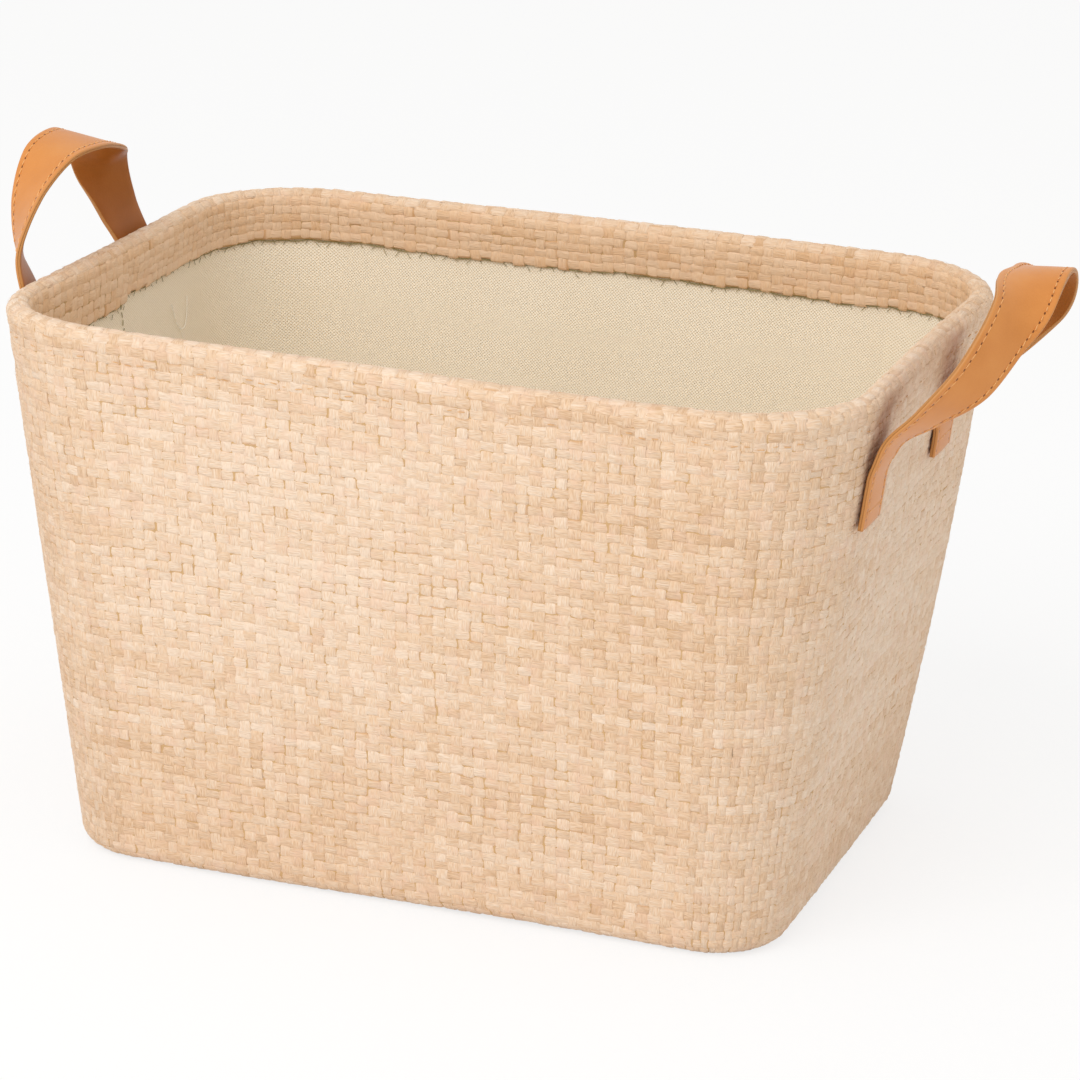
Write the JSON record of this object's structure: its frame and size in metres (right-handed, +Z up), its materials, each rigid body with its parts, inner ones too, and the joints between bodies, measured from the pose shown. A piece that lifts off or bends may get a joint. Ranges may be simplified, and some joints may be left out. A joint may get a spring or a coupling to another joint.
{
  "type": "fabric storage bin",
  "caption": "Tapered, round-cornered storage bin of coarse woven cloth with a rolled rim, a coated lining and a leather strap handle on each short side.",
  "frame": {"origin": "middle of the flat underside, at the foot outline's centre", "axes": "+Z up, +X along the long side towards the right handle, -Y towards the front"},
  "size_m": [0.4631, 0.279, 0.2955],
  "materials": {
    "woven_cloth": "coarse plain weave of flat, twisted-paper yarns in a pale natural tan",
    "coated_lining": "beige coated lining with a fine embossed cross-hatch",
    "foam_padding": "white sheet foam, hidden in the wall",
    "stiff_board": "grey-brown fibreboard, hidden in the base",
    "steel_wire": "drawn steel wire, hidden in the rim",
    "overlock_thread": "dark olive overlock thread",
    "seam_thread": "pale sewing thread",
    "strap_leather": "smooth tan coated leather with a soft sheen",
    "strap_backing": "the darker inner face of the strap",
    "strap_thread": "light orange sewing thread"
  },
  "bodies": {
    "bin": {"outer_cloth": "woven_cloth", "base_cloth": "woven_cloth", "rim_wire": "steel_wire", "wall_padding": "foam_padding", "wall_lining": "coated_lining", "base_board": "stiff_board", "base_lining": "coated_lining", "hem_overlock_thread": "overlock_thread", "base_seam_stitches": "seam_thread", "side_seam_stitches": "overlock_thread", "right_front_tab": "strap_leather", "right_front_tab_backing": "strap_backing", "right_back_tab": "strap_leather", "right_back_tab_backing": "strap_backing", "right_tab_stitches": "strap_thread", "left_front_tab": "strap_leather", "left_front_tab_backing": "strap_backing", "left_back_tab": "strap_leather", "left_back_tab_backing": "strap_backing", "left_tab_stitches": "strap_thread"},
    "right_handle": {"right_loop": "strap_leather", "right_loop_backing": "strap_backing", "right_loop_stitches": "strap_thread"},
    "left_handle": {"left_loop": "strap_leather", "left_loop_backing": "strap_backing", "left_loop_stitches": "strap_thread"}
  },
  "joints": [
    {"name": "right_handle_swing", "type": "hinge", "parent": "bin", "child": "right_handle", "pos_m": [0.18979, -0.018, 0.21065], "axis": [0, 1, 0], "range_deg": [-24, 110]},
    {"name": "left_handle_swing", "type": "hinge", "parent": "bin", "child": "left_handle", "pos_m": [-0.18979, -0.018, 0.21065], "axis": [0, -1, 0], "range_deg": [0, 135]}
  ]
}
